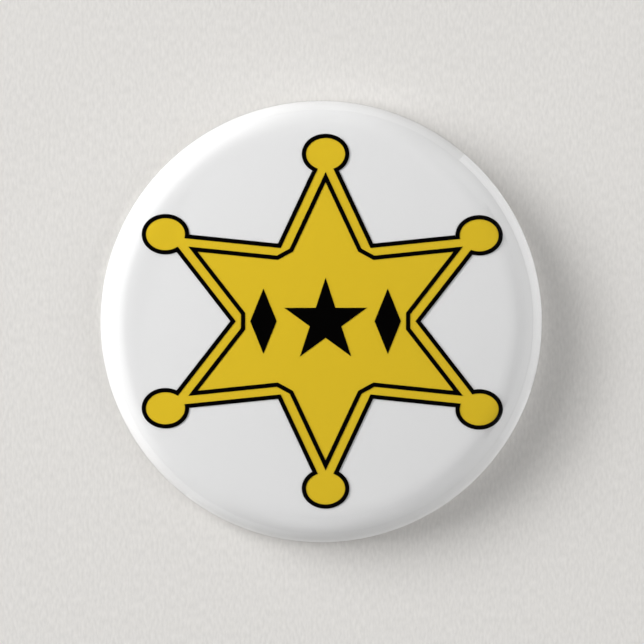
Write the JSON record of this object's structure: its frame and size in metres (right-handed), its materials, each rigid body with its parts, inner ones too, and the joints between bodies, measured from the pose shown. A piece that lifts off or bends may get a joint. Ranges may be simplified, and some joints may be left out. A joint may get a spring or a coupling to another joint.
{
  "type": "pinback button",
  "caption": "Round glossy pinback button: white domed face printed with a yellow ball-tipped star in black outline, rolled rim, and a dished steel back that holds a wire pin.",
  "frame": {"origin": "middle of the plane that the rim rests on, face up", "axes": "+Z out through the middle of the face, +Y towards the printed star's top point, +X to the viewer's right"},
  "size_m": [0.0572, 0.0572, 0.0062],
  "materials": {
    "tinplate": "bright rolled tinplate with a fine grain",
    "white_paper": "smooth white coated paper",
    "yellow_ink": "flat yellow print on paper",
    "black_ink": "solid black print on paper",
    "clear_film": "clear glossy polyester film",
    "spring_wire": "plated spring wire, polished"
  },
  "bodies": {
    "root": {"shell": "tinplate", "printed_disc": "white_paper", "star_gold": "yellow_ink", "outer_outline": "black_ink", "inner_outline": "black_ink", "middle_star": "black_ink", "left_lozenge": "black_ink", "right_lozenge": "black_ink", "clear_film": "clear_film", "back_plate": "tinplate", "pin_wire": "spring_wire"}
  },
  "joints": []
}
